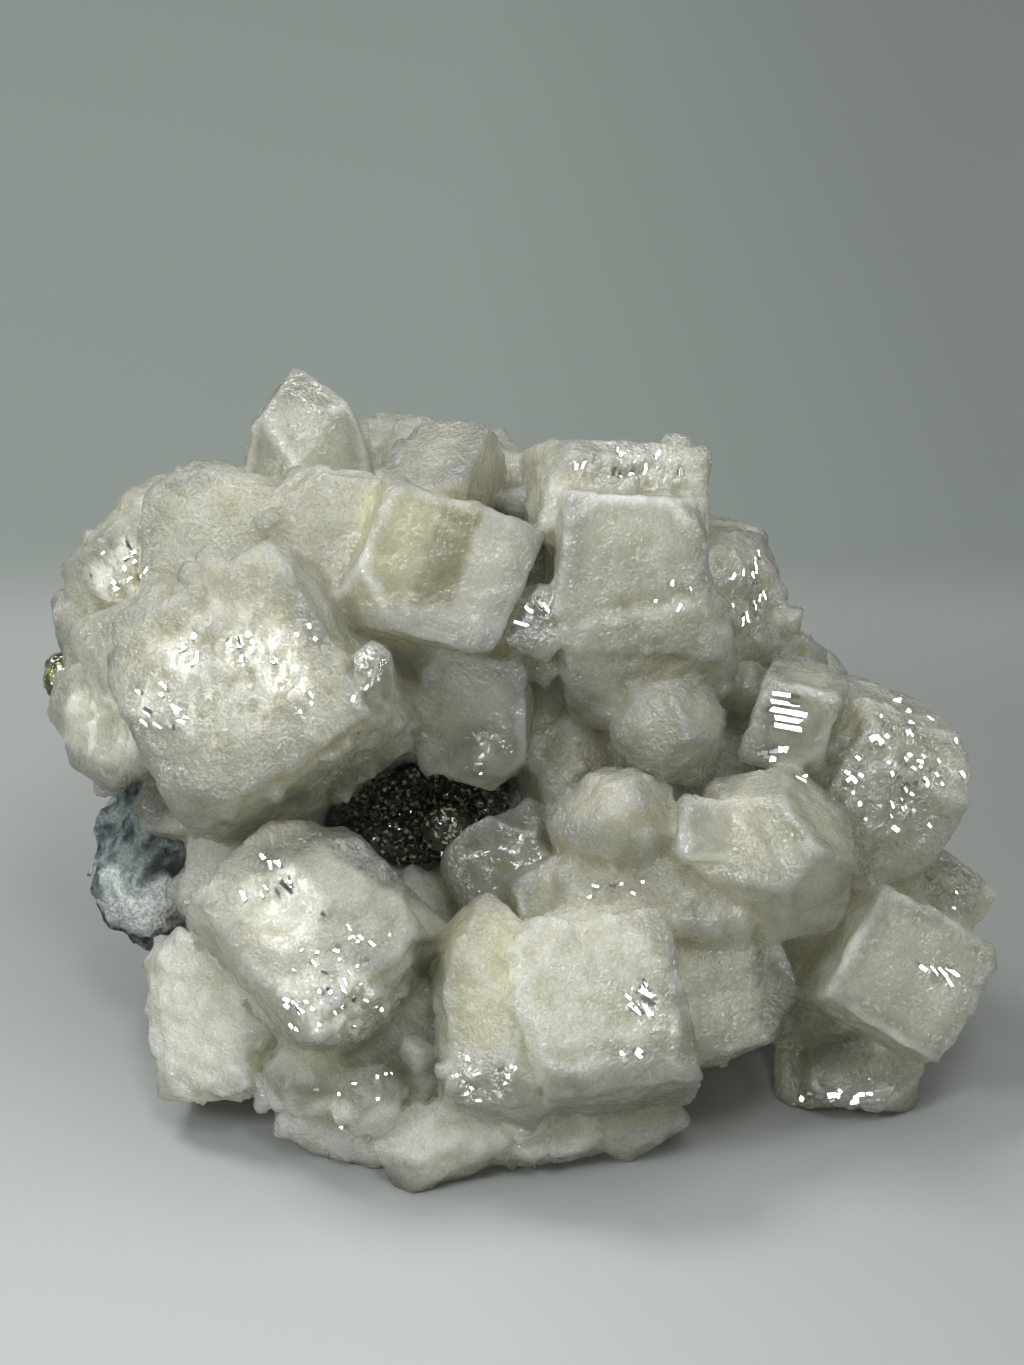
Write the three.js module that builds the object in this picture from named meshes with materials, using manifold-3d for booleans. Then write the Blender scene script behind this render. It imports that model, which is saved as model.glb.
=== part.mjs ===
// A calcite specimen: a loose cluster of intergrown calcite crystals on a piece of dark basalt.
// Between the crystals there is a small hollow that shows the rock, lined with dark quartz druse.
// Millimetres, +Z up. The display face looks towards -Y and leans back. The origin is on the
// surface that the specimen stands on, under the middle of its box.

import * as THREE from "three";
import { ImprovedNoise } from "three/addons/math/ImprovedNoise.js";
import { mergeVertices } from "three/addons/utils/BufferGeometryUtils.js";
import Module from "manifold-3d";

const wasm = await Module();
wasm.setup();
const { Manifold, Mesh: SolidMesh } = wasm;

// Driving dimensions
const faceTilt = 30; // degrees that the display face leans back from upright
const faceHeight = 37; // height of the display face's middle above the ground
const contactGap = 0.3; // clearance between two pieces that touch
const sliver = 0.2; // detail finer than this is merged after the joins

// The rock's lumps: a middle in world millimetres, three radii, and how rough each is.
const rockLumps = [
  { at: [-4, 20, 31.6], radii: [41, 21, 33.6], rough: 3.4, detail: 5 },
  { at: [-13.5, 5, 28.2], radii: [21, 9.5, 11.6], rough: 0.8, detail: 2 },
  { at: [-44.8, 3.5, 21.2], radii: [9.4, 13.5, 9.8], rough: 3, detail: 3 },
  { at: [-45, 5, 34], radii: [6, 8, 5], rough: 1.6, detail: 1 },
];
// The first lump is broken flat in these directions, each at a distance from its middle.
const rockBreaks = [
  { towards: [0.25, 1, 0.15], reach: 24.5 },
  { towards: [-0.5, 1, -0.35], reach: 18.5 },
  { towards: [0.75, 0.8, -0.2], reach: 24 },
  { towards: [0.1, 0.6, 1], reach: 40 },
  { towards: [-0.8, 0.9, 0.5], reach: 26 },
  { towards: [0, -0.866, 0.5], reach: 15.5 },
];

// The massive calcite that the crystals stand on, as lumps on the display face.
const bedLumps = [
  { at: [-3.5, -4, -12], radii: [45, 38, 15.5], rough: 2.2, detail: 4 },
  { at: [-5, -31, 3], radii: [30, 12, 10], rough: 1.8, detail: 2 },
  { at: [-5, 19, -15], radii: [27, 20, 12], rough: 1.8, detail: 3 },
];

// The hollow between the crystals, and the druse on its floor, given on the display face.
const hollow = { at: [-12, -5.6, 9], radii: [17.6, 9.6, 14], turn: 16, detail: 3 };
const druseThickness = 2.2;
const druseGrain = 0.7;

// The grain of green mineral on the left edge, given on the display face.
const greenGrain = { at: [-57.7, 12.2, -4.5], radii: [2.1, 3.1, 2.6], rough: 0.5, detail: 1 };

// Crystals. at is the middle on the display face: across, up and out of it. half is half the
// size along the crystal's own axes, and turn its angles about them, in degrees. steps is how
// many parallel growths stand against it, lean slants its sides, and cut is the share of its
// corners that are cut off.
const crystals = [
  { name: "top point", form: "point", at: [-26.8, 39.8, -8], half: [7.8, 11.8, 7], turn: [0, 14, 8] },
  { name: "behind the point", form: "block", at: [-16.4, 41.2, -15], half: [4.4, 4.2, 5], turn: [10, 25, 8], steps: 1 },
  { name: "top knob", form: "round", at: [-8.4, 38.8, -9], half: [4.8, 4.8, 6], turn: [0, 20, 10] },
  { name: "top knob behind", form: "block", at: [-2.2, 37.4, -15], half: [5, 4.4, 6], turn: [12, -20, -14], steps: 1 },
  { name: "left shoulder top", form: "round", at: [-38.8, 35, -4.4], half: [5.2, 4.6, 6], turn: [10, 0, 12] },
  { name: "left shoulder", form: "round", at: [-45, 31.6, -5], half: [5, 5.8, 7], turn: [0, -20, 0], steps: 1 },
  { name: "silver edge", form: "block", at: [-49.8, 25.2, -1], half: [4.4, 5.4, 6], turn: [10, -30, 30], steps: 1 },
  { name: "left edge upper", form: "block", at: [-52, 17.4, -3], half: [4, 6.2, 6], turn: [0, -30, 12], steps: 1 },
  { name: "between point and shoulder", form: "block", at: [-35, 26, 2], half: [9, 8.2, 8], turn: [-14, -8, 6], steps: 2 },
  { name: "large left", form: "block", at: [-31.4, 9.8, 13], half: [13.8, 11.5, 12.5], turn: [-16, -10, 30], cut: 0.35, steps: 3 },
  { name: "left wall", form: "block", at: [-48.2, 7.8, 0], half: [6.2, 7.8, 8], turn: [-6, -28, 28], steps: 2 },
  { name: "left wall upper", form: "block", at: [-45.8, 14.8, 5], half: [6.6, 6.4, 7], turn: [-14, -24, 22], steps: 1 },
  { name: "small on large left", form: "round", at: [-18.2, 11.9, 25], half: [2.8, 4.4, 3.2], turn: [0, 10, -12] },
  { name: "zoned block", form: "block", at: [-11.8, 25, 7], half: [9.8, 8.6, 10], turn: [-8, 12, -13], lean: -0.24, cut: 0.2 },
  { name: "zoned block left", form: "block", at: [-21.6, 27.2, 5], half: [7.8, 8.4, 9], turn: [-10, -12, -6], lean: -0.2, steps: 1 },
  { name: "bright chip", form: "block", at: [2.1, 18.9, 10], half: [2.6, 4.6, 4.6], turn: [-10, 12, -35] },
  { name: "upper right back", form: "block", at: [12, 34.6, -2], half: [10.6, 6, 9], turn: [0, 8, -2], cut: 0.3, steps: 1 },
  { name: "upper right", form: "block", at: [13.4, 26, 5.5], half: [9.2, 9.2, 9], turn: [4, 6, -2], cut: 0.25, steps: 1 },
  { name: "upper right foot", form: "block", at: [15.2, 16.2, 3], half: [10.4, 8, 8.4], turn: [22, 4, 8], steps: 1 },
  { name: "right shoulder", form: "block", at: [24, 21.6, -3.5], half: [5.6, 9.4, 8], turn: [8, 22, -8], steps: 3 },
  { name: "right shoulder edge", form: "block", at: [26.6, 18.6, -8.5], half: [3.4, 7.4, 6], turn: [10, 30, -6], steps: 2 },
  { name: "right shoulder top", form: "block", at: [25.4, 27.6, -11], half: [3.6, 4.4, 5], turn: [5, 20, -15] },
  { name: "right shoulder low", form: "block", at: [30, 11.4, -4], half: [3.6, 5, 5], turn: [0, 20, 10], steps: 1 },
  { name: "middle round", form: "round", at: [18.2, 5.8, 9.5], half: [7.1, 6.6, 7.4], turn: [8, 10, 20] },
  { name: "middle low round", form: "round", at: [11.8, -6.2, 12.5], half: [8, 6.9, 7.6], turn: [-10, -6, 0], steps: 1 },
  { name: "middle low bump", form: "round", at: [12.8, -3, 18.6], half: [3.6, 3.5, 3], turn: [0, 0, 15] },
  { name: "small block", form: "block", at: [22.4, -6.6, 16], half: [3.5, 3.6, 4.4], turn: [-4, 6, -4], cut: 0.1 },
  { name: "smooth head", form: "round", at: [30.6, -9.6, 12], half: [9.8, 11, 9], turn: [4, 24, 24] },
  { name: "striped block", form: "block", at: [34.2, 7.2, 6.5], half: [4.7, 5.7, 6.4], turn: [14, -10, -14], cut: 0.3 },
  { name: "speckled block", form: "block", at: [45, -0.6, -2], half: [7.6, 9.2, 9], turn: [12, 14, -22], steps: 2 },
  { name: "right clear edge", form: "block", at: [52, -14.6, -8], half: [6.2, 4.2, 6], turn: [0, 12, -33] },
  { name: "right rhomb", form: "block", at: [46.2, -24.6, 2], half: [8.6, 8.3, 8], turn: [-12, 14, -29], lean: -0.1, cut: 0.15, steps: 1 },
  { name: "right root", form: "block", at: [40.4, -14.6, -7.5], half: [8.6, 13, 9], turn: [10, 8, -12], steps: 1 },
  { name: "low clear edge", form: "block", at: [37.4, -34.6, -6], half: [4.2, 6.2, 5.4], turn: [0, -16, 4] },
  { name: "right foot", form: "block", at: [42.6, -38.2, -3], half: [7, 3.4, 5.4], turn: [-8, 6, -5], steps: 1 },
  { name: "clear rim block", form: "block", at: [21.4, -25.4, 8.5], half: [8.4, 9.4, 8.6], turn: [-6, 18, 14], cut: 0.3, steps: 1 },
  { name: "lower front", form: "block", at: [10.2, -29, 17], half: [9, 10.2, 8.6], turn: [-14, 6, 9], cut: 0.4, steps: 2 },
  { name: "zoned prism", form: "point", at: [-3.4, -26.4, 17], half: [6.2, 12.4, 7.6], turn: [0, 30, 3] },
  { name: "ledge", form: "block", at: [16, -16.2, 9.5], half: [11, 5.4, 8.6], turn: [-24, 4, -4], steps: 2 },
  { name: "pendant", form: "block", at: [-1.6, -11.4, 4], half: [6.6, 5.2, 5.8], turn: [-6, -14, 30], steps: 1 },
  { name: "lower left", form: "block", at: [-25.2, -20.8, 11.5], half: [12, 10, 11.4], turn: [-10, -12, -44], cut: 0.4, steps: 3 },
  { name: "white wall", form: "block", at: [-36.4, -29.2, 1], half: [6.2, 9.6, 9], turn: [-6, -24, 8], steps: 2 },
  { name: "white foot", form: "block", at: [-26.6, -36.6, 4.4], half: [6, 4, 5.6], turn: [-10, -14, -22], steps: 1 },
  { name: "left knob", form: "round", at: [-26, -36.4, 14], half: [4.9, 4.5, 5], turn: [0, 0, 10] },
  { name: "left low knob", form: "round", at: [-18.6, -39, 14], half: [4.3, 4.1, 4.6], turn: [0, 0, 30] },
  { name: "front foot", form: "block", at: [-8.6, -44.2, 10], half: [7.2, 4.4, 5.2], turn: [-16, -8, 22], steps: 2 },
  { name: "front foot left", form: "block", at: [-22.4, -43.2, 5.4], half: [7, 3.6, 5.4], turn: [-10, 0, -20], steps: 2 },
  { name: "sparkling ledge", form: "block", at: [-2.4, -37.8, 16], half: [6.4, 4.6, 5.4], turn: [-24, 6, -16], steps: 1 },
  { name: "white chip", form: "block", at: [3.8, -44, 8], half: [6.6, 3.2, 5.2], turn: [-10, 10, 6], steps: 1 },
  { name: "front right foot", form: "block", at: [13.6, -41.8, 7], half: [4.8, 4.4, 5], turn: [-8, 16, 26], steps: 1 },
  { name: "hanging block", form: "block", at: [-5.2, 8.4, 4], half: [6.3, 7.2, 6.8], turn: [6, -8, -4], cut: 0.3, steps: 1 },
  { name: "hanging knob", form: "round", at: [-4.6, 2.3, 6], half: [4.5, 3.5, 4.4], turn: [0, 6, 0] },
  { name: "right of hollow", form: "block", at: [4.9, 1.9, -1], half: [4.6, 5.4, 5.6], turn: [0, 14, 34] },
  { name: "plates over hollow", form: "block", at: [-18.4, 3, 7], half: [6.2, 2.2, 6.4], turn: [-4, 8, 33], steps: 2 },
  { name: "under zoned block", form: "block", at: [-7.6, 15.6, 2], half: [9.2, 4.4, 6.4], turn: [14, -4, 4] },
  { name: "below the middle", form: "block", at: [5, -15, 8], half: [6, 5, 6], turn: [0, 10, 20] },
  { name: "above basalt", form: "block", at: [-41, -2.2, 2], half: [4.4, 4.8, 6], turn: [-6, -20, -10], steps: 1 },
  { name: "beside basalt", form: "block", at: [-36.4, -11, 3], half: [3.6, 6.6, 6], turn: [-6, -20, -10], steps: 1 },
  { name: "hollow sill", form: "point", at: [-12.6, -16.6, 1], half: [3.4, 5.6, 4], turn: [0, 20, 8] },
  { name: "between the tops", form: "block", at: [-0.4, 32.4, -9], half: [4.4, 4.6, 5], turn: [16, -12, 12] },
];

// Smaller crystals that grow round the back of the rock, up to the bare part of it.
const rim = {
  count: 70,
  middle: [-3, 9, 33],
  radii: [40, 21, 35],
  size: [3.2, 6.4],
  bareTowards: [0.12, 1, -0.12],
  bareAngle: 46,
  lowest: 5,
  deepest: 0.8, // share of the rock's radius; those further in are left out, the others stand on it
};

const degrees = THREE.MathUtils.degToRad;
const noise = new ImprovedNoise();
const worldFrame = new THREE.Matrix4();

// The display face's frame, as a rotation and a shift of its middle.
const faceToWorld = new THREE.Matrix4()
  .makeRotationX(-degrees(faceTilt))
  .multiply(new THREE.Matrix4().makeRotationX(Math.PI / 2))
  .setPosition(0, 0, faceHeight);

// A repeatable source of numbers from 0 to 1.
function numbersFrom(seed) {
  let state = seed;
  return () => {
    state = (state + 0x6d2b79f5) | 0;
    let t = Math.imul(state ^ (state >>> 15), 1 | state);
    t = (t + Math.imul(t ^ (t >>> 7), 61 | t)) ^ t;
    return ((t ^ (t >>> 14)) >>> 0) / 4294967296;
  };
}

// Turns a three.js geometry into a solid that can be joined and cut.
function solidOf(geometry) {
  geometry.deleteAttribute("normal");
  geometry.deleteAttribute("uv");
  const merged = mergeVertices(geometry, 1e-4);
  return new Manifold(
    new SolidMesh({
      numProp: 3,
      vertProperties: new Float32Array(merged.attributes.position.array),
      triVerts: new Uint32Array(merged.index.array),
    }),
  );
}

// The largest body of a solid, without slivers, sealed cavities and the crumbs that a cut leaves.
function mainBody(solid) {
  const bodies = solid.simplify(sliver).decompose();
  return bodies.reduce((best, body) => (body.volume() > best.volume() ? body : best));
}

// Turns a solid into a named, flat-shaded mesh.
function meshOf(name, solid, material) {
  const { numProp, vertProperties, triVerts } = solid.getMesh();
  const positions = new Float32Array((vertProperties.length / numProp) * 3);
  for (let i = 0; i < positions.length / 3; i++) {
    positions.set(vertProperties.subarray(i * numProp, i * numProp + 3), i * 3);
  }
  const geometry = new THREE.BufferGeometry();
  geometry.setAttribute("position", new THREE.BufferAttribute(positions, 3));
  geometry.setIndex(new THREE.BufferAttribute(new Uint32Array(triVerts), 1));
  geometry.computeVertexNormals();
  const mesh = new THREE.Mesh(geometry, material);
  mesh.name = name;
  return mesh;
}

// A rough lump: an ellipsoid whose surface is moved in and out by noise.
function lump({ at, radii, rough, detail }, frame, grow = 0) {
  const geometry = new THREE.IcosahedronGeometry(1, detail);
  const position = geometry.getAttribute("position");
  const point = new THREE.Vector3();
  for (let i = 0; i < position.count; i++) {
    point.fromBufferAttribute(position, i).normalize();
    const direction = point.clone();
    point.multiply(new THREE.Vector3(...radii));
    const coarse = noise.noise(point.x / 13 + 7.3, point.y / 13 + 2.1, point.z / 13);
    const fine = noise.noise(point.x / 5 + 1.7, point.y / 5 + 4.9, point.z / 5);
    point.addScaledVector(direction, rough * (coarse + 0.45 * fine) + grow);
    position.setXYZ(i, point.x, point.y, point.z);
  }
  geometry.applyMatrix4(frame.clone().multiply(new THREE.Matrix4().makeTranslation(...at)));
  return solidOf(geometry);
}

// The rock, broken flat in a few places.
function rock(grow = 0) {
  const [main, ...others] = rockLumps.map((each) => lump(each, worldFrame, grow));
  const centre = new THREE.Vector3(...rockLumps[0].at);
  const broken = rockBreaks.reduce((solid, { towards, reach }) => {
    const normal = new THREE.Vector3(...towards).normalize();
    const offset = normal.dot(centre) + reach + grow;
    return solid.trimByPlane(normal.clone().negate().toArray(), -offset);
  }, main);
  return Manifold.union([broken, ...others]);
}

// Face normals of the forms, in a crystal's own axes.
const signs = [-1, 1];
const blockSides = [0, 1, 2].flatMap((axis) =>
  signs.map((sign) => new THREE.Vector3().setComponent(axis, sign)),
);
const blockEdges = [0, 1, 2].flatMap((axis) =>
  signs.flatMap((a) =>
    signs.map((b) =>
      new THREE.Vector3().setComponent((axis + 1) % 3, a).setComponent((axis + 2) % 3, b).normalize(),
    ),
  ),
);
const blockCorners = signs.flatMap((x) =>
  signs.flatMap((y) => signs.map((z) => new THREE.Vector3(x, y, z).normalize())),
);

// A ring of normals at one angle from an axis: 1 for the upright axis of a point, 2 for a head.
function ring(count, polar, start, axis) {
  return Array.from({ length: count }, (_, i) => {
    const around = degrees(start + (360 * i) / count);
    const side = Math.sin(degrees(polar));
    const along = Math.cos(degrees(polar));
    const normal = [side * Math.cos(around), side * Math.sin(around)];
    normal.splice(axis, 0, along);
    return new THREE.Vector3(...normal);
  });
}

// How far an ellipsoid and a box of the same half sizes reach along a direction.
const ellipsoidReach = (n, half) => Math.hypot(n.x * half[0], n.y * half[1], n.z * half[2]);
const boxReach = (n, half) =>
  Math.abs(n.x) * half[0] + Math.abs(n.y) * half[1] + Math.abs(n.z) * half[2];

// Each form gives a crystal's faces as normals with their distances from its middle.
const forms = {
  // a steep rhombohedron that looks like a block, with some of its edges and corners cut
  block(half, random, cut) {
    const skew = () => (random() - 0.5) * 0.16;
    const sides = blockSides.map((n) => {
      const normal = n.clone().add(new THREE.Vector3(skew(), skew(), skew())).normalize();
      return { normal, reach: ellipsoidReach(n, half) };
    });
    const edges = blockEdges
      .filter(() => random() < 0.5 * cut)
      .map((n) => ({ normal: n, reach: boxReach(n, half) * (0.82 + 0.12 * random()) }));
    const corners = blockCorners
      .filter(() => random() < 1.4 * cut)
      .map((n) => ({ normal: n, reach: boxReach(n, half) * (0.74 + 0.16 * random()) }));
    return [...sides, ...edges, ...corners];
  },
  // a nail-head: a six-sided prism with a low and a steep three-sided cap at each end
  round(half, random) {
    const low = 44 + 6 * random();
    const normals = [
      ...ring(6, 88 + 4 * random(), 12, 2),
      ...ring(3, low, 30, 2),
      ...ring(3, 180 - low, 90, 2),
      ...ring(3, low + 22, 90, 2),
      ...ring(3, 158 - low, 30, 2),
    ];
    return normals.map((n) => ({ normal: n, reach: ellipsoidReach(n, half) * (0.9 + 0.08 * random()) }));
  },
  // a prism with a pointed end upwards
  point(half, random) {
    const tip = ring(4, 46, 8, 1).map((n) => ({ normal: n, reach: n.y * half[1] }));
    const shoulder = ring(4, 72, 12, 1).map((n) => ({
      normal: n,
      reach: n.y * half[1] + Math.hypot(n.x, n.z) * half[0] * (0.46 + 0.08 * random()),
    }));
    const sides = ring(6, 90, 20, 1).map((n) => ({ normal: n, reach: ellipsoidReach(n, half) * 0.98 }));
    const base = { normal: new THREE.Vector3(0, -1, 0), reach: half[1] };
    return [...tip, ...shoulder, ...sides, base];
  },
};

const cutBlank = solidOf(new THREE.BoxGeometry(1, 1, 1));

// Cuts one crystal from a blank, by its faces. frame carries its own axes into the world.
function cutCrystal(faces, frame, blankSize, grow) {
  const centre = new THREE.Vector3().setFromMatrixPosition(frame);
  const blank = cutBlank.scale(blankSize).translate(centre.toArray());
  return faces.reduce((solid, { normal, reach }) => {
    const outward = normal.clone().transformDirection(frame);
    const offset = outward.dot(centre) + reach + grow;
    return solid.trimByPlane(outward.negate().toArray(), -offset);
  }, blank);
}

// A crystal with its parallel growths, as a list of solids.
function crystal({ form, at, half, turn, lean = 0, cut = 0.5, steps = 0 }, seed, toWorld, grow = 0) {
  const random = numbersFrom(seed);
  const faces = forms[form](half, random, cut);
  faces.forEach(({ normal }) => {
    if (Math.abs(normal.x) > 0.7) normal.set(normal.x, normal.y + lean * normal.x, normal.z).normalize();
  });
  const own = new THREE.Matrix4()
    .makeRotationFromEuler(new THREE.Euler(...turn.map(degrees), "ZYX"))
    .setPosition(...at);
  const frame = toWorld.clone().multiply(own);
  const blankSize = 5 * Math.max(...half);
  const solids = [cutCrystal(faces, frame, blankSize, grow)];
  for (let step = 0; step < steps; step++) {
    const shift = half.map((h) => (random() - 0.5) * 0.62 * h);
    const share = 0.7 + 0.2 * random();
    const smaller = faces.map(({ normal, reach }) => ({
      normal,
      reach: reach * Math.min(1, share + 0.12 * random()),
    }));
    const moved = frame.clone().multiply(new THREE.Matrix4().makeTranslation(...shift));
    solids.push(cutCrystal(smaller, moved, blankSize, grow));
  }
  return solids;
}

// The small crystals of the rim, spread evenly over the bed by the golden angle.
function rimCrystals(grow) {
  const random = numbersFrom(91);
  const goldenAngle = Math.PI * (3 - Math.sqrt(5));
  const bare = new THREE.Vector3(...rim.bareTowards).normalize();
  const display = new THREE.Vector3(0, 0, 1).transformDirection(faceToWorld);
  const rockMiddle = new THREE.Vector3(...rockLumps[0].at);
  const rockRadii = new THREE.Vector3(...rockLumps[0].radii);
  const found = [];
  for (let i = 0; i < rim.count; i++) {
    const height = 1 - (2 * i + 1) / rim.count;
    const side = Math.sqrt(1 - height * height);
    const direction = new THREE.Vector3(
      side * Math.cos(i * goldenAngle),
      side * Math.sin(i * goldenAngle),
      height,
    );
    const size = THREE.MathUtils.lerp(...rim.size, random());
    const turn = [random() * 90, random() * 90, random() * 90];
    const squat = [0.8 + 0.4 * random(), 0.8 + 0.4 * random(), 0.8 + 0.4 * random()];
    const seed = Math.floor(random() * 1e6);
    const at = direction
      .clone()
      .multiply(new THREE.Vector3(...rim.radii))
      .add(new THREE.Vector3(...rim.middle));
    const fromRock = at.clone().sub(rockMiddle);
    const depth = fromRock.clone().divide(rockRadii).length();
    if (depth < 1) at.copy(rockMiddle).addScaledVector(fromRock, 1 / depth);
    const bareness = THREE.MathUtils.radToDeg(direction.angleTo(bare));
    const facing = direction.dot(display);
    if (bareness < rim.bareAngle || facing > 0.25 || at.z < rim.lowest || depth < rim.deepest) continue;
    const form = random() < 0.35 ? "round" : "block";
    const half = squat.map((each) => each * size);
    const row = { form, at: at.toArray(), half, turn };
    found.push(...crystal(row, seed, worldFrame, grow));
  }
  return found;
}

// The hollow as an ellipsoid on the display face, its radii changed by grow.
function hollowSpace(grow, bumps = 0) {
  const geometry = new THREE.IcosahedronGeometry(1, hollow.detail);
  const position = geometry.getAttribute("position");
  const point = new THREE.Vector3();
  for (let i = 0; i < position.count; i++) {
    point.fromBufferAttribute(position, i).normalize();
    const swell = bumps * noise.noise(point.x * 4.1, point.y * 4.1, point.z * 4.1 + 3);
    point.multiply(new THREE.Vector3(...hollow.radii).addScalar(grow + swell));
    position.setXYZ(i, point.x, point.y, point.z);
  }
  const own = new THREE.Matrix4().makeRotationZ(degrees(hollow.turn)).setPosition(...hollow.at);
  geometry.applyMatrix4(faceToWorld.clone().multiply(own));
  return solidOf(geometry);
}

const aboveGround = (solid) => solid.trimByPlane([0, 0, 1], 0);

// All the calcite that stands outside the rock, as one solid.
function calcite(grow) {
  const solids = crystals.flatMap((row, index) => crystal(row, 17 + index * 7, faceToWorld, grow));
  const bed = Manifold.union(bedLumps.map((each) => lump(each, faceToWorld, grow)));
  return Manifold.union([bed.subtract(hollowSpace(-grow)), ...rimCrystals(grow), ...solids]);
}

const bareRock = rock().subtract(hollowSpace(0));
const rockWithGap = rock(contactGap);
const calciteSolid = mainBody(aboveGround(calcite(0).subtract(rockWithGap)));
const calciteWithGap = calcite(contactGap);

const rockSolid = mainBody(aboveGround(bareRock));

const druseSkin = hollowSpace(-contactGap).subtract(hollowSpace(-contactGap - druseThickness, 2 * druseGrain));
const druseSolid = mainBody(
  druseSkin.intersect(rock(-contactGap)).subtract(calciteWithGap),
);

const grainSolid = mainBody(
  lump(greenGrain, faceToWorld).subtract(calciteWithGap).subtract(rockWithGap),
);

const surfaces = {
  calcite: new THREE.MeshStandardMaterial({ color: 0xd9d9cb, roughness: 0.35, metalness: 0 }),
  basalt: new THREE.MeshStandardMaterial({ color: 0x5a6061, roughness: 0.9, metalness: 0 }),
  druse: new THREE.MeshStandardMaterial({ color: 0x23261f, roughness: 0.3, metalness: 0 }),
  grain: new THREE.MeshStandardMaterial({ color: 0x37401f, roughness: 0.3, metalness: 0 }),
};

const specimen = new THREE.Group();
specimen.name = "calcite specimen";
specimen.add(
  meshOf("calcite_crystals", calciteSolid, surfaces.calcite),
  meshOf("basalt_matrix", rockSolid, surfaces.basalt),
  meshOf("quartz_druse", druseSolid, surfaces.druse),
  meshOf("green_grain", grainSolid, surfaces.grain),
);

// Sets the origin under the middle of the whole specimen.
const box = new THREE.Box3().setFromObject(specimen);
const middle = box.getCenter(new THREE.Vector3());
specimen.position.set(-middle.x, -middle.y, -box.min.z);

export default specimen;
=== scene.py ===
# A calcite specimen: milky intergrown crystals on basalt, with a small hollow lined by dark quartz druse.
# Everything is in metres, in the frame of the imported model, whose display face leans back by 30 degrees.

import math
import random
from functools import partial
from itertools import product

import bmesh
import bpy
import numpy as np
from mathutils import Euler, Matrix, Vector
from mathutils.bvhtree import BVHTree
from mathutils.kdtree import KDTree


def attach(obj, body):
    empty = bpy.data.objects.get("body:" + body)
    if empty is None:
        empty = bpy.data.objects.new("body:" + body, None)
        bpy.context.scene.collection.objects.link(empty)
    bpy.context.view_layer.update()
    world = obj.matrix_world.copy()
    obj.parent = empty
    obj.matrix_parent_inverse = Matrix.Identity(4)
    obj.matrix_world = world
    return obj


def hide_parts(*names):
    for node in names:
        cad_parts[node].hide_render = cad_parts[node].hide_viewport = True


mm = 0.001

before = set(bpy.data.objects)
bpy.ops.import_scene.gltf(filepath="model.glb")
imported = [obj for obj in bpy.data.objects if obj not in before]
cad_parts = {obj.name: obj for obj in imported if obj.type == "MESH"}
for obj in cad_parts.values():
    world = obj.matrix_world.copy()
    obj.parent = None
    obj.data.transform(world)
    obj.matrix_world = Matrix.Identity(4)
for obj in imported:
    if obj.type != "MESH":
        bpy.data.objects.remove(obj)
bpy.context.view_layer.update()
print("frame loaded")


def linkNew(name, data):
    thing = bpy.data.objects.new(name, data)
    bpy.context.collection.objects.link(thing)
    return thing


def cosSin(degrees):
    return math.cos(math.radians(degrees)), math.sin(math.radians(degrees))


# The display face, which leans back: places on it are in mm across, up and out of it, from its middle.
face = {"tilt": 30, "height": 37.0, "shiftX": -0.067, "shiftY": -0.444}
faceCos, faceSin = cosSin(face["tilt"])


def onFace(across, up, out):
    y = up * faceSin - out * faceCos + face["shiftY"]
    z = up * faceCos + out * faceSin + face["height"]
    return Vector((across + face["shiftX"], y, z)) * mm


def toFace(places):
    # The other way round, for rows of places in metres.
    x, y, z = (places / mm).T
    y, z = y - face["shiftY"], z - face["height"]
    return np.stack([x - face["shiftX"], y * faceSin + z * faceCos, z * faceSin - y * faceCos], axis=1)


# The camera, where the photograph was taken from: mm on the display face, and away from it.
camera = {"lookAt": (-1.0, 11.6, 0.0), "away": 600.0, "lens": 126.56, "clip": (0.01, 20)}

lamps = [
    # name, place and diameter in metres, power in watts
    ("window", (-0.55, 0.30, 1.15), 0.5, 11.0),
    ("ceiling", (0.25, -0.15, 1.40), 1.3, 10.0),
    ("front left", (-0.62, -0.60, 0.70), 0.3, 6.0),
    ("front", (0.13, -0.62, 1.05), 0.25, 3.5),
    ("right", (1.10, 0.10, 0.55), 0.25, 2.8),
    ("low", (-0.27, -1.00, 0.36), 0.12, 0.7),
]


def cameraPlace():
    across, up, out = camera["lookAt"]
    return onFace(across, up, out + camera["away"])


def makeCamera():
    data = bpy.data.cameras.new("camera")
    data.lens = camera["lens"]
    data.clip_start, data.clip_end = camera["clip"]
    holder = linkNew("camera", data)
    holder.location = cameraPlace()
    holder.rotation_euler = (holder.location - onFace(*camera["lookAt"])).to_track_quat("Z", "Y").to_euler()
    bpy.context.scene.camera = holder


makeCamera()


# helpers for nodes and materials

def linear(hexColour):
    # An sRGB hex value as the linear colour that a socket takes.
    parts = [int(hexColour[i : i + 2], 16) / 255 for i in (1, 3, 5)]
    return [p / 12.92 if p <= 0.04045 else ((p + 0.055) / 1.055) ** 2.4 for p in parts] + [1.0]


def addNode(tree, kind, inputs=None, give=0, **settings):
    # Adds a node and gives one of its outputs, by number or name. An input takes a value or another node's output.
    node = tree.nodes.new("ShaderNode" + kind)
    for name, value in settings.items():
        setattr(node, name, value)
    for name, value in (inputs or {}).items():
        if isinstance(value, bpy.types.NodeSocket):
            tree.links.new(value, node.inputs[name])
        else:
            node.inputs[name].default_value = value
    return node.outputs[give] if node.outputs else None


def newMaterial(name):
    # A bare material, with what adds its nodes, and its Object coordinates counted in mm.
    material = bpy.data.materials.new(name)
    material.use_nodes = True
    material.node_tree.nodes.clear()
    add = partial(addNode, material.node_tree)
    inMm = add("Mapping", {"Vector": add("TexCoord", give="Object"), "Scale": (1000, 1000, 1000)})
    return material, add, inMm


# helpers for meshes

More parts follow.
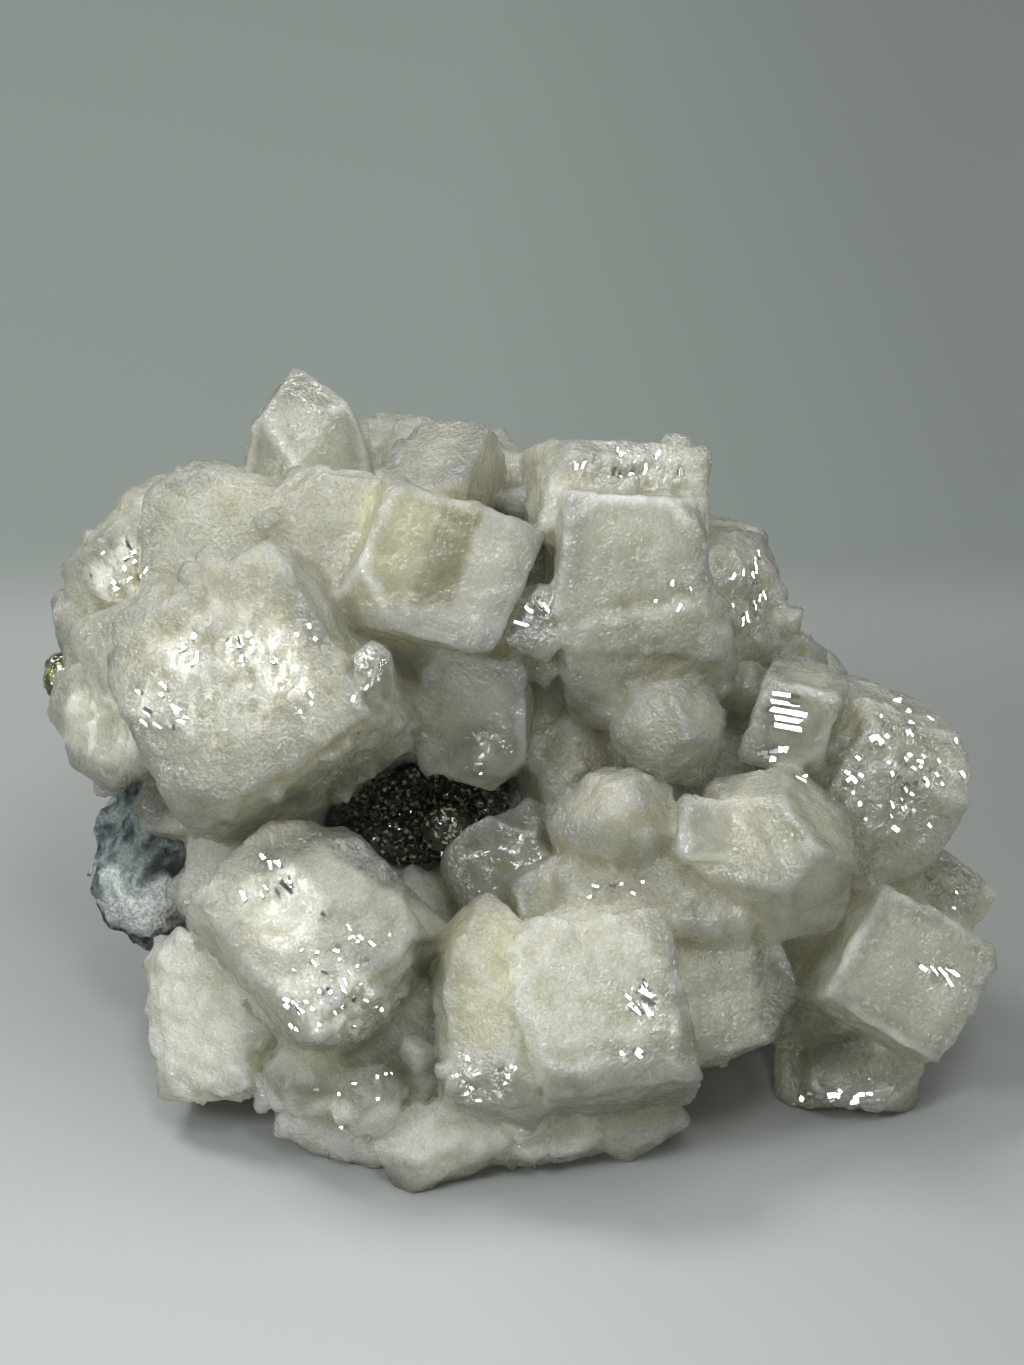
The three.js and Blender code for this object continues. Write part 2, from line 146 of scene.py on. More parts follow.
def meshOf(solid, name="part"):
    # Makes a bmesh a mesh, and frees it.
    mesh = bpy.data.meshes.new(name)
    solid.to_mesh(mesh)
    solid.free()
    return mesh


def solidFrom(mesh):
    # Makes a mesh a bmesh, and removes it.
    solid = bmesh.new()
    solid.from_mesh(mesh)
    bpy.data.meshes.remove(mesh)
    return solid


def joinInto(solid, part):
    mesh = meshOf(part)
    solid.from_mesh(mesh)
    bpy.data.meshes.remove(mesh)


def addBlock(solid, place, half):
    # A block with these half sizes in metres, put in its place by a matrix.
    verts = bmesh.ops.create_cube(solid, size=2.0)["verts"]
    bmesh.ops.transform(solid, matrix=place @ Matrix.Diagonal(Vector(half).to_4d()), verts=verts)
    return verts


def addBall(solid, across, up, out, size, subdivisions):
    verts = bmesh.ops.create_icosphere(solid, subdivisions=subdivisions, radius=size * mm)["verts"]
    bmesh.ops.translate(solid, vec=onFace(across, up, out), verts=verts)


def turnTo(along, normal):
    # The turn that takes X to the first direction and Z to the second.
    return Matrix((along, normal.cross(along), normal)).transposed().to_4x4()


def draws(picks, low, high, count=3):
    return [picks.uniform(low, high) for _ in range(count)]


def solidOf(node):
    # A copy of a CAD solid with its loose triangles merged.
    solid = bmesh.new()
    solid.from_mesh(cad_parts[node].data)
    bmesh.ops.remove_doubles(solid, verts=solid.verts, dist=0.002 * mm)
    bmesh.ops.dissolve_degenerate(solid, edges=solid.edges, dist=0.001 * mm)
    return solid


def bakeModifiers(solid, modifiers):
    # Runs modifiers on a bmesh and gives the resulting mesh.
    mesh = meshOf(solid, "work")
    work = linkNew("work", mesh)
    for kind, settings in modifiers:
        modifier = work.modifiers.new(kind, kind)
        for name, value in settings.items():
            setattr(modifier, name, value)
    made = bpy.data.meshes.new_from_object(work.evaluated_get(bpy.context.evaluated_depsgraph_get()))
    bpy.data.objects.remove(work)
    bpy.data.meshes.remove(mesh)
    return made


def remeshed(solid, voxel, rounds=0):
    # One closed skin over all of a bmesh, with voxels of some mm, smoothed in some rounds.
    modifiers = [("REMESH", {"mode": "VOXEL", "voxel_size": voxel * mm})]
    if rounds:
        modifiers.append(("SMOOTH", {"factor": 0.5, "iterations": rounds}))
    return bakeModifiers(solid, modifiers)


def thinned(mesh, triangles):
    share = min(1, triangles / (2 * len(mesh.polygons)))
    return bakeModifiers(solidFrom(mesh), [("DECIMATE", {"ratio": share, "use_collapse_triangulate": True})])


def placesOf(mesh, each="vertices", part="co"):
    rows = np.empty(len(mesh.vertices) * 3)
    getattr(mesh, each).foreach_get(part, rows)
    return rows.reshape(-1, 3)


def setPlaces(mesh, places):
    mesh.vertices.foreach_set("co", places.astype(np.float32).ravel())
    mesh.update()


def swell(mesh, places, height, onFloor=False):
    # Moves each place out by its height in mm. What stands on the floor stays above it.
    places = places + placesOf(mesh, "vertex_normals", "vector") * (height * mm)[:, None]
    if onFloor:
        places[:, 2] = np.maximum(places[:, 2], 0)
    setPlaces(mesh, places)


def setAttribute(mesh, name, values, kind="FLOAT", part="value"):
    attribute = mesh.attributes.new(name, kind, "POINT")
    attribute.data.foreach_set(part, np.clip(values, 0, 1).astype(np.float32).ravel())


def setTint(mesh, colours):
    whole = np.concatenate([colours, np.ones((len(colours), 1))], axis=1)
    setAttribute(mesh, "tint", whole, "FLOAT_COLOR", "color")


def painted(base, layers):
    # Rows of linear colours: a base, moved towards each layer's colour by the layer's own amounts.
    colours = np.tile(linear(base)[:3], (len(layers[0][0]), 1))
    for amount, hexColour in layers:
        colours = colours + (np.array(linear(hexColour)[:3]) - colours) * np.clip(amount, 0, 1)[:, None]
    return colours


def finishPiece(mesh, name, material, node):
    piece = linkNew(name, mesh)
    mesh.materials.clear()
    mesh.materials.append(material)
    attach(piece, "root")
    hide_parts(node)


# helpers for relief

gridPicks = np.random.default_rng(7)
gridOrder = np.tile(gridPicks.permutation(256), 2)
gridLean = gridPicks.normal(size=(256, 3))
gridLean /= np.linalg.norm(gridLean, axis=1)[:, None]


def gridCode(cells):
    # One of 256 fixed codes for each cell of a grid.
    i, j, k = (cells & 255).T
    return gridOrder[(gridOrder[(gridOrder[i] + j) & 255] + k) & 255]


def noise(places, grain, offset=0.0, octaves=1):
    # Smooth noise of about -1 to 1 at each place, with grain the size of its lumps in mm.
    total = np.zeros(len(places))
    for octave in range(octaves):
        points = places * (2.1**octave / (grain * mm)) + offset + 19.7 * octave
        low = np.floor(points).astype(int)
        part = points - low
        ease = part**3 * (part * (part * 6 - 15) + 10)
        for corner in product((0, 1), repeat=3):
            lean = gridLean[gridCode(low + corner)]
            share = np.prod(np.where(corner, ease, 1 - ease), axis=1)
            total += 1.6 * 0.5**octave * share * np.einsum("ij,ij->i", lean, part - corner)
    return total


def cells(places, grain, offset=0.0):
    # The nearest of scattered points, grain mm apart: how far off it is, which one, and the way from it.
    points = places / (grain * mm) + offset
    low = np.floor(points).astype(int)
    best, code, away = np.full(len(points), 9.0), np.zeros(len(points), int), np.zeros(points.shape)
    for step in product((-1, 0, 1), repeat=3):
        found = gridCode(low + step)
        gap = points - (low + step + 0.5 + 0.42 * gridLean[found])
        far = np.einsum("ij,ij->i", gap, gap)
        closer = far < best
        best[closer], code[closer], away[closer] = far[closer], found[closer], gap[closer]
    return np.sqrt(best), code, away


def hillocks(places, grain, offset=0.0):
    # Rounded bumps, 1 on their tops and 0 in the joints between them.
    return np.clip(1 - 1.3 * cells(places, grain, offset)[0], 0, 1)


def facets(places, grain, offset=0.0):
    # Small flat faces, each with its own tilt, as on a broken or sugary surface.
    _, code, away = cells(places, grain, offset)
    return np.einsum("ij,ij->i", gridLean[(code * 7 + 3) & 255], away) * grain


def smoothed(mesh, places, rounds):
    # Places after rounds of moving each half way to the middle of its neighbours.
    ends = np.empty(len(mesh.edges) * 2, np.int32)
    mesh.edges.foreach_get("vertices", ends)
    one, other, total = ends[0::2], ends[1::2], len(places)
    count = np.bincount(one, minlength=total) + np.bincount(other, minlength=total)
    for _ in range(rounds):
        sums = [
            np.bincount(one, places[other, axis], total) + np.bincount(other, places[one, axis], total)
            for axis in range(3)
        ]
        places = 0.5 * places + 0.5 * np.stack(sums, axis=1) / count[:, None]
    return places


def ramp(values, low, high):
    share = np.clip((values - low) / (high - low), 0, 1)
    return share * share * (3 - 2 * share)


def treeOf(points):
    tree = KDTree(len(points))
    for i, point in enumerate(points):
        tree.insert(point, i)
    tree.balance()
    return tree


def bend(edge):
    # How far an edge bends outwards, in degrees, or nothing for a loose edge.
    return math.degrees(edge.calc_face_angle_signed(0.0)) if len(edge.link_faces) == 2 else 0


def creaseFar(solid, places, outward, least=22, reach=9.0, apart=0.35):
    # Distance in mm from each place to the nearest outward (or inward) crease of a solid, at most reach.
    samples = []
    for edge in solid.edges:
        if (bend(edge) if outward else -bend(edge)) < least:
            continue
        a, b = (v.co for v in edge.verts)
        count = max(1, int((b - a).length / (apart * mm)))
        samples += [a.lerp(b, (i + 0.5) / count) for i in range(count)]
    tree = treeOf(samples)
    return np.minimum(np.array([tree.find(p)[2] for p in places.tolist()]) / mm, reach)


calcite = {
    "voxel": 0.4,  # mm, the finest form that the mesh holds
    "triangles": 182000,
    "closeness": 0.2,  # mm that the calcite grows towards the rock and outwards
    "joints": 380,  # small crystals in the joints between the big ones
    "jointBend": 24,  # degrees that such a joint bends inwards
    "jointSize": (0.7, 2.1),
    "hollow": (-11.5, -8.0),  # kept free of the small crystals, to these radii
    "hollowSize": (19, 10),
    "reach": 53,  # mm to the left and right, past which none are added
    "plates": 0.014,  # growth plates for each square mm of a big face
    "plateFace": 16,  # square mm, the smallest big face
    "plateSize": (0.12, 0.34),  # of the face's own size
    "plateStep": (0.16, 0.42),
    "teeth": 0.12,  # small steps for each mm of an outward edge
    "toothBend": 35,
    "toothSize": ((0.5, 1.9), (0.4, 1.0), (0.4, 1.0)),  # half sizes along, over and out of the face
    "wear": (3, 12, 70),  # rounds of smoothing for crisp, usual and soft edges
    "worn": (0.16, 0.5, -0.14, 0.42),  # how much: usual, soft, crisp, and at least in the joints
    "sway": 0.5,  # mm that the faces and edges wander
    "bulge": 0.35,
    "roll": 0.3,
    "rough": 0.11,
    "rougher": {"silk": 0.14, "grain": 0.14, "white": 0.12, "glint": 0.1},
    "facets": ((3.0, 1.0), (1.5, 0.6)),  # sizes in mm of the small growth faces, and their shares
    "fibres": 0.25,
    "pits": 0.9,
    # edge sets the painted highlight along the outward creases, and recess the painted shade in the joints
    "edge": (0.3, 1.3),  # where painted zones fade, in mm from the outward and the inward creases
    "shell": (0.8, 3.6),
    "recess": (0.3, 4.5),
}

# Small crystals that stand out: across, up, out, half sizes and turn.
smallCrystals = [
    (-33.4, 30.4, 5, (1.5, 1.8, 1.6), (20, 30, 12)),
    (-30.2, 29, 7, (1.2, 1, 1.2), (0, 40, 50)),
    (-15.4, 36.4, 0, (2.6, 1.6, 2.2), (10, 0, 20)),
    (-11.6, 35.6, 1, (1.7, 1.2, 1.6), (35, 10, 0)),
    (-7.5, 34.4, 1.5, (2, 1.3, 1.8), (5, 25, -20)),
    (-52.6, 27.6, 0, (1.7, 1.5, 2), (0, 20, 40)),
    (-46.6, 29.4, 2.6, (1.6, 1.7, 1.6), (20, 0, 10)),
    (0.2, 14.9, 9, (1.9, 1.6, 2), (30, 0, 25)),
    (3.4, 13.4, 8, (1.3, 1.9, 1.6), (0, 30, -15)),
    (-12.6, 15.2, 7.4, (1.6, 1.1, 1.6), (10, 20, 10)),
    (29.8, 16.4, 2, (1.8, 2, 1.8), (10, 20, 10)),
    (28.2, 11.4, 4.4, (1.8, 1.7, 1.8), (30, 40, 20)),
    (25, 13, 5, (1.3, 1.6, 1.4), (0, 20, 50)),
    (38, 3.4, 6.6, (1.4, 1.2, 1.4), (20, 10, 30)),
    (39.6, -8, 5, (1.7, 1.5, 1.8), (25, 0, 40)),
    (43, -12.6, 3, (1.6, 1.3, 1.6), (0, 30, 15)),
    (27.5, -22.8, 10.6, (1.5, 1.3, 1.5), (15, 25, 0)),
    (6.4, -13.6, 13, (1.5, 1.2, 1.5), (10, 40, 20)),
    (9.5, -14.8, 14.6, (1.1, 1.2, 1.1), (40, 0, 20)),
    (13.6, -14.2, 15.4, (1.4, 1, 1.3), (0, 15, 40)),
    (17.5, -14.6, 15, (1, 1.1, 1), (30, 30, 10)),
    (-37.2, -18.6, 8.6, (1.9, 1.6, 1.8), (20, 10, 30)),
    (-33, -31.6, 9.4, (1.5, 1.8, 1.6), (0, 40, 10)),
    (-30.2, -38.6, 9, (2.2, 1.6, 2), (30, 0, 20)),
    (-15.6, -44, 11.4, (1.8, 1.4, 1.6), (10, 30, 0)),
    (-12.6, -33.4, 16, (1.4, 1.9, 1.4), (0, 10, 35)),
    (5.6, -38, 17.6, (1.6, 1.4, 1.6), (20, 0, 30)),
    (10.6, -38.8, 14, (1.9, 1.4, 1.6), (30, 20, 0)),
    (17.8, -38.6, 10.4, (1.4, 1.8, 1.4), (0, 40, 15)),
]

# Regions of the calcite: a name, its middle and radii on the display face, its turn, and what it adds there. clear
# is see-through, warm honey-coloured and darker, on slopes that face down and in joints partly painted shade, white
# opaque, silk broken and satiny, whiter in part as a painted sheen, glint has small mirror faces, grain is sugary,
# pits are small holes, crisp keeps edges sharp, soft has them worn, smooth is polished, stain a dark film.
regions = [
    ("big left", (-29, 8, 10), (21, 20, 24), 0, {"soft": 0.85, "warm": 0.35}),
    ("lower left barrel", (-24.5, -20, 10), (17, 18, 24), 0, {"soft": 0.9, "white": 0.25}),
    ("left flank", (-45, 16, 0), (12, 20, 20), 0, {"soft": 0.5, "grain": 0.3}),
    ("front pair", (6, -27, 18), (16, 14, 16), 0, {"soft": 0.45, "white": 0.3}),
    ("front right", (25, -24, 10), (9, 11, 14), 0, {"soft": 0.7}),
    ("head", (30.6, -9.6, 15), (11, 12, 14), 0, {"soft": 0.7}),
    ("middle knobs", (15, -2, 14), (10, 12, 14), 0, {"soft": 0.35, "grain": 0.3}),
    ("top point", (-26.8, 39.8, -6), (9, 14, 12), 0, {"crisp": 0.9, "smooth": 0.6, "clear": 0.3}),
    ("zoned block", (-12.6, 25.5, 12), (14, 11, 10), -13, {"crisp": 1, "smooth": 0.5}),
    ("upper right", (13.4, 29, 8), (11.5, 14.5, 14), 0, {"crisp": 0.9, "smooth": 0.4, "white": 0.15}),
    ("right rhomb", (46.2, -24.6, 5), (12, 12, 14), -29, {"crisp": 0.9, "smooth": 0.4}),
    ("striped block", (34.2, 7.2, 8), (6.5, 7.5, 10), -14, {"crisp": 1, "smooth": 0.9, "clear": 0.25}),
    ("speckled block", (45, -0.6, 2), (10, 12, 14), -22, {"crisp": 0.7, "glint": 0.6, "clear": 0.45}),
    ("smooth head", (30.6, -9.6, 15), (11, 12, 12), 0, {"crisp": 0.2, "smooth": 0.5}),
    ("small block", (22.4, -6.6, 20), (4.6, 4.6, 5), 0, {"crisp": 0.9, "smooth": 0.6}),
    ("hanging block", (-4.6, 5, 9), (8, 10, 9), 0, {"crisp": 0.6, "smooth": 0.7, "clear": 0.12}),
    ("hanging tip", (-4.6, 2.6, 10), (6, 4.4, 6), 0, {"clear": 0.4, "smooth": 0.6}),
    ("lower front", (10.2, -29, 24), (11, 12, 10), 9, {"crisp": 0.35}),
    ("milky left", (-35, 12, 20), (12, 10, 14), 30, {"silk": 0.4, "glint": 0.3}),
    ("silk top left", (-34.4, 15.6, 22), (3, 3.4, 12), -20, {"silk": 1, "glint": 0.5}),
    ("silk far left", (-40.6, 15.2, 20), (2.4, 3.4, 12), 0, {"silk": 0.9, "glint": 0.4}),
    ("silk beside", (-28.2, 13.4, 22), (3.6, 6.8, 12), 30, {"silk": 0.8, "glint": 0.5}),
    ("silk lower edge", (-44.4, 8.6, 14), (5.2, 3.2, 12), -30, {"silk": 0.9, "glint": 0.4}),
    ("silk low left", (-28.5, -15.4, 20), (6.5, 6.5, 12), -44, {"silk": 1, "glint": 0.3}),
    ("silk lower left", (-22, -26.5, 20), (9.5, 6.5, 12), -30, {"silk": 0.9, "glint": 0.6}),
    ("silver edge", (-48.8, 25.2, 2), (5, 4.6, 9), 0, {"silk": 0.9, "glint": 0.8}),
    ("left wall silk", (-49.4, 6.8, 4), (7, 7, 10), 0, {"silk": 0.6, "white": 0.3}),
    ("chip", (2, 18.6, 13), (3.4, 4.8, 5), -35, {"glint": 0.8, "clear": 0.45}),
    ("shoulder stripes", (27.6, 23, 2), (6.5, 6.5, 10), 0, {"glint": 0.55}),
    ("upper right top", (14.5, 37.4, 4), (10, 4, 10), 0, {"glint": 0.5, "clear": 0.35, "silk": 0.3}),
    ("right grain", (18.5, 18.5, 12), (9, 8, 10), 0, {"grain": 0.9}),
    ("foot sparkle", (40, -38.6, 2), (8, 2.4, 8), -3, {"glint": 1, "clear": 0.3}),
    ("right foot", (40.6, -36.4, 2), (9, 5.4, 9), 0, {"clear": 0.35}),
    ("low clear edge", (36.6, -33, 1), (4.4, 6.4, 9), 0, {"clear": 0.85}),
    ("right clear edge", (53.4, -13.4, -3), (6, 4.6, 9), -33, {"clear": 0.6, "glint": 0.3}),
    ("clear corner", (31, -26.6, 10), (4, 9, 10), 12, {"clear": 0.7}),
    ("rhomb glints", (51.5, -24.6, 8), (4, 3, 8), -40, {"glint": 0.6}),
    ("front glints", (15.2, -27.4, 26), (4.4, 2, 6), -42, {"glint": 1}),
    ("low glints", (14.8, -35, 24), (2.2, 3.2, 6), 20, {"glint": 0.8}),
    ("ledge sparkle", (-4, -36.4, 20), (6, 5, 8), 0, {"glint": 0.9, "clear": 0.3}),
    ("silk top", (-31.2, 24.2, 12), (9, 7, 10), 0, {"grain": 0.4}),
    ("pendant", (-1.6, -10.2, 9), (7.4, 6.6, 8), 30, {"clear": 0.45, "smooth": 0.8}),
    ("hollow's rim", (-19.6, -8, 18), (13, 3.2, 10), -40, {"clear": 0.75, "smooth": 0.7}),
    ("barrel dome", (-29.4, -9.4, 14), (9, 3.6, 12), 20, {"clear": 0.7, "smooth": 0.6}),
    ("barrel right rim", (-12.6, -19.6, 14), (2.6, 8, 12), 30, {"clear": 0.6, "smooth": 0.5}),
    ("clear left piece", (-45.6, -2.4, 4), (5, 5, 9), 0, {"clear": 0.8}),
    ("small on silk", (-18.2, 11.9, 27), (3.4, 5, 5), -12, {"clear": 0.5, "smooth": 0.8, "glint": 0.2}),
    ("plates", (-18.4, 3.4, 12), (9, 4.4, 10), 33, {"clear": 0.25, "pits": 1}),
    ("pits", (-20.4, 6.2, 20), (9, 4.4, 12), 33, {"pits": 1}),
    ("white wall", (-37.6, -28.6, 6), (9.5, 13, 14), 8, {"white": 0.7, "grain": 0.5}),
    ("white feet", (-18, -42.4, 8), (28, 6.4, 14), 0, {"white": 0.75, "grain": 0.4}),
    ("white chip", (1.5, -43.6, 12), (9, 3.4, 10), 0, {"white": 1, "grain": 0.8}),
    ("beside the rock", (-37, -10, 4), (6, 9, 10), 0, {"white": 0.6, "clear": 0.2}),
    ("honey top", (-25.6, 31.4, 8), (7.5, 6.5, 10), 0, {"warm": 0.35}),
    ("honey knobs", (-5.4, 35.4, -4), (9, 6.5, 10), 0, {"warm": 0.45}),
    ("honey beside", (-0.6, 24.6, 0), (4, 8, 12), 0, {"warm": 0.9}),
    # beneath a crystal, on a slope that faces down: its warm, darker tint is partly painted shade
    ("honey under", (-4, 14.6, 2), (9, 4.6, 10), 0, {"warm": 0.7}),
    ("honey middle", (8.5, 4, 2), (8, 8, 10), 0, {"warm": 0.7}),
    ("honey right", (37.6, -8.5, 0), (8, 8, 12), 0, {"warm": 0.8}),
    # at the foot of the right crystals, in shade: its warm, darker tint is partly painted shade
    ("honey low", (34.5, -26.5, -2), (6, 10, 12), 0, {"warm": 0.8}),
    ("honey ledge", (16, -16.2, 14), (12, 4.4, 8), 0, {"warm": 0.35, "grain": 0.6}),
    ("dark film", (-56.4, 19.6, -6), (1.9, 6.6, 8), 0, {"stain": 0.9, "clear": 0.4}),
]

# The zoned crystals: a point on their phantom's right edge, that edge's angle from upright, where the phantom
# ends below, how wide the darker band beside it is, and the crystal's own middle and radii.
phantoms = [
    ((-11.4, 26.6), 18.5, 20.9, 4.7, (-8.8, 25.4, 12), (11.4, 11, 12)),
    ((-1, -26), 2, -32.2, 0.5, (-4.8, -25, 20), (5.4, 12, 9)),
]

# Cleavage flakes that glint: their middle and radii on the display face, as seen from the camera, how many there
# are, their half lengths and half widths in mm, and the way that they run, in degrees.
flakes = [
    ((47.6, 1.4), (8, 9), 64, (0.2, 0.55), (0.14, 0.32), -50),
    ((28.6, 24.6), (2.8, 5.8), 12, (0.4, 0.95), (0.12, 0.24), 84),
    ((22.6, 23.2), (6.4, 3.4), 7, (0.2, 0.6), (0.12, 0.24), 80),
    ((13.6, 38.4), (8, 2.2), 16, (0.3, 0.8), (0.14, 0.3), 82),
    ((40, -40.2), (5.6, 0.9), 14, (0.3, 0.7), (0.2, 0.4), 0),
    ((52.5, -24.2), (2.8, 1.8), 6, (0.6, 1.4), (0.15, 0.28), -44),
    ((54.4, -14.4), (3.6, 2.4), 6, (0.2, 0.6), (0.12, 0.25), -35),
    ((15.6, -27.6), (2.6, 2.2), 9, (0.5, 1.3), (0.18, 0.36), -40),
    ((14, -34.4), (1.3, 2.2), 4, (0.4, 0.8), (0.2, 0.3), -60),
    ((-23.8, -29.6), (6.6, 2.8), 40, (0.2, 0.6), (0.13, 0.3), -25),
    ((-22, -22), (7.5, 5), 24, (0.15, 0.5), (0.12, 0.24), -35),
    ((-32.2, -13.2), (3.8, 3.2), 10, (0.4, 1.1), (0.15, 0.3), -55),
    ((-4.4, -37.8), (4.2, 3), 12, (0.2, 0.5), (0.14, 0.3), 20),
    ((1.5, 20), (1.9, 2.4), 6, (0.7, 1.5), (0.18, 0.32), -40),
    ((-49.8, 26), (3.2, 2.8), 14, (0.25, 0.7), (0.15, 0.35), 40),
    ((-34.6, 15.9), (2, 2.2), 9, (0.3, 0.8), (0.18, 0.36), -60),
    ((-27.9, 13.6), (3.5, 6), 12, (0.2, 0.5), (0.12, 0.25), -50),
    ((-41, 15.7), (1.2, 1.9), 5, (0.3, 0.8), (0.15, 0.3), 70),
    ((-44.8, 8.5), (3.6, 3.2), 12, (0.3, 0.8), (0.15, 0.32), -40),
    ((-20, -39.4), (7.6, 5), 14, (0.2, 0.45), (0.12, 0.26), 0),
    ((-19.4, 9.2), (1.6, 2.2), 5, (0.2, 0.5), (0.15, 0.3), 70),
    ((-5.2, 0.2), (3.6, 1.4), 5, (0.2, 0.5), (0.12, 0.24), 10),
    ((12.6, -14.4), (5, 1.4), 6, (0.2, 0.45), (0.12, 0.24), 0),
    ((34.4, -0.4), (1.6, 0.5), 2, (0.5, 0.9), (0.15, 0.2), 10),
    ((32, 2.9), (1.8, 0.9), 6, (0.3, 0.7), (0.2, 0.4), -10),
]
chip = {
    "half": 0.2,  # mm, half of its thickness
    "sunk": 0.13,
    "sway": 1.5,  # degrees off the way that mirrors a lamp
    "spin": 14,  # degrees off the way that it runs
    "facing": 0.72,  # the least cosine to the surface
    "lampSize": 0.6,  # metres, wider lamps don't glint
}
stripes = {"middle": (33.4, 8.0), "step": (0.1, -1.02), "count": 5, "half": (2.3, 0.36), "way": -8}


def regionWeights(places):
    # What each vertex takes from the regions, as arrays from 0 to 1.
    onTheFace = toFace(places)
    wobble = 0.22 * noise(places, 3.0, 5.0)  # so that no border is plain
    w = {key: np.zeros(len(places)) for row in regions for key in row[-1]}
    for _, at, radii, turn, adds in regions:
        across, up, out = (onTheFace - np.array(at)).T
        c, s = cosSin(turn)
        along = (across * c + up * s) / radii[0]
        over = (up * c - across * s) / radii[1]
        far = np.sqrt(along**2 + over**2 + (out / radii[2]) ** 2) + wobble
        share = ramp(-far, -1.05, -0.7)
        for key, amount in adds.items():
            w[key] = 1 - (1 - w[key]) * (1 - amount * share)
    return w


def phantomWeights(places):
    # The honey core, the greyer band and the pale rim of the zoned crystals.
    across, up, out = toFace(places).T
    core, band, rim = (np.zeros(len(places)) for _ in range(3))
    for (x, y), lean, below, width, middle, radii in phantoms:
        parts = zip((across, up, out), middle, radii)
        there = ramp(-np.max([np.abs(part - o) / r for part, o, r in parts], axis=0), -1.05, -0.8)
        c, s = cosSin(lean)
        beside = (across - x) * c - (up - y) * s
        above = up - below
        inside = there * ramp(above, -0.15, 0.35)
        core = np.maximum(core, inside * ramp(-beside, -0.2, 0.3))
        within = ramp(beside, -0.3, 0.2) * ramp(-beside, -width - 0.3, -width + 0.3)
        band = np.maximum(band, inside * within)
        beyond = np.maximum(ramp(beside, width - 0.3, width + 0.3), ramp(-above, -0.3, 0.3))
        rim = np.maximum(rim, there * beyond)
    return core, band, rim


def addSmallCrystal(solid, middle, half, turn, cut=0.0):
    # A block, with some of its corners cut off by some mm.
    place = Matrix.Translation(middle) @ Euler([math.radians(t) for t in turn]).to_matrix().to_4x4()
    corners = addBlock(solid, place, half)[::3]
    if cut:
        settings = {"affect": "VERTICES", "segments": 1, "profile": 0.5, "material": -1}
        bmesh.ops.bevel(solid, geom=corners, offset=cut * mm, **settings)


def jointPlaces(solid, picks):
    # Places in the joints between the big crystals, with the way out from the face beside them.
    edges = [e for e in solid.edges if -bend(e) > calcite["jointBend"] and e.calc_length() > 1.2 * mm]
    middles = toFace(np.array([list((e.verts[0].co + e.verts[1].co) / 2) for e in edges]))
    far = np.hypot(*((middles[:, :2] - calcite["hollow"]) / calcite["hollowSize"]).T)
    edges = [e for e, off, at in zip(edges, far, middles) if off > 1 and abs(at[0]) < calcite["reach"]]
    found = []
    for edge in picks.choices(edges, weights=[e.calc_length() for e in edges], k=calcite["joints"]):
        a, b = (v.co for v in edge.verts)
        side = picks.choice(list(edge.link_faces)).normal
        sway = side.cross(b - a).normalized() * picks.uniform(-1.6, 1.6) * mm
        found.append((a.lerp(b, picks.random()) + sway, side.copy()))
    return found


def growPlates(solid, source, picks):
    # Parallel growth: thin plates stand on the big faces, square to their longest edge.
    plain = source.copy()
    bmesh.ops.dissolve_limit(plain, angle_limit=math.radians(2), verts=plain.verts, edges=plain.edges)
    wide = [f for f in plain.faces if f.calc_area() > calcite["plateFace"] * mm**2]
    smooth = regionWeights(np.array([list(f.calc_center_median()) for f in wide]))["smooth"]
    for base, polish in zip(wide, smooth):
        longest = max(base.edges, key=lambda e: e.calc_length())
        turn = turnTo((longest.verts[1].co - longest.verts[0].co).normalized(), base.normal)
        middle = base.calc_center_median()
        reach = min((edge.verts[0].co.lerp(edge.verts[1].co, 0.5) - middle).length for edge in base.edges)
        count = base.calc_area() / mm**2 * calcite["plates"] * (1 - 0.8 * polish)
        for _ in range(round(count)):
            corner, other = (picks.choice(list(base.verts)).co for _ in range(2))
            at = middle.lerp(corner.lerp(other, picks.random()), 0.55 * picks.random() ** 0.5)
            half = [share * 1.6 * reach for share in draws(picks, *calcite["plateSize"], 2)]
            half.append(picks.uniform(*calcite["plateStep"]) * mm)
            tilt = Euler(draws(picks, -0.05, 0.05)).to_matrix().to_4x4()
            addBlock(solid, Matrix.Translation(at) @ turn @ tilt, half)
    plain.free()


def growTeeth(source, picks):
    # Steps along the outward edges, where the growth layers end.
    steps = bmesh.new()
    for edge in source.edges:
        if bend(edge) < calcite["toothBend"]:
            continue
        a, b = (v.co for v in edge.verts)
        count = int((b - a).length / mm * calcite["teeth"] + picks.random())
        turn = turnTo((b - a).normalized(), picks.choice(list(edge.link_faces)).normal)
        out = (edge.link_faces[0].normal + edge.link_faces[1].normal).normalized()
        for _ in range(count):
            half = [picks.uniform(*size) * mm for size in calcite["toothSize"]]
            at = a.lerp(b, picks.uniform(0.2, 0.8)) - out * (half[2] + picks.uniform(0, 0.3) * mm)
            addBlock(steps, Matrix.Translation(at) @ turn, half)
    return steps


def flakeSpots(picks):
    # Where the flakes are on the display face, their half sizes, the way they run, and how much they sway.
    spots = []
    for middle, radii, count, length, width, way in flakes:
        for _ in range(count):
            far, turn = picks.random() ** 0.5, picks.uniform(0, 2 * math.pi)
            at = [m + r * far * part for m, r, part in zip(middle, radii, (math.cos(turn), math.sin(turn)))]
            half = (picks.uniform(*length), picks.uniform(*width))
            spots.append((at, half, way + picks.gauss(0, chip["spin"]), chip["sway"]))
    for i in range(stripes["count"]):
        at = [m + (i - (stripes["count"] - 1) / 2) * s for m, s in zip(stripes["middle"], stripes["step"])]
        half = [size * picks.uniform(0.75, 1.05) for size in stripes["half"]]
        spots.append((at, half, stripes["way"], 0.1))
    return spots


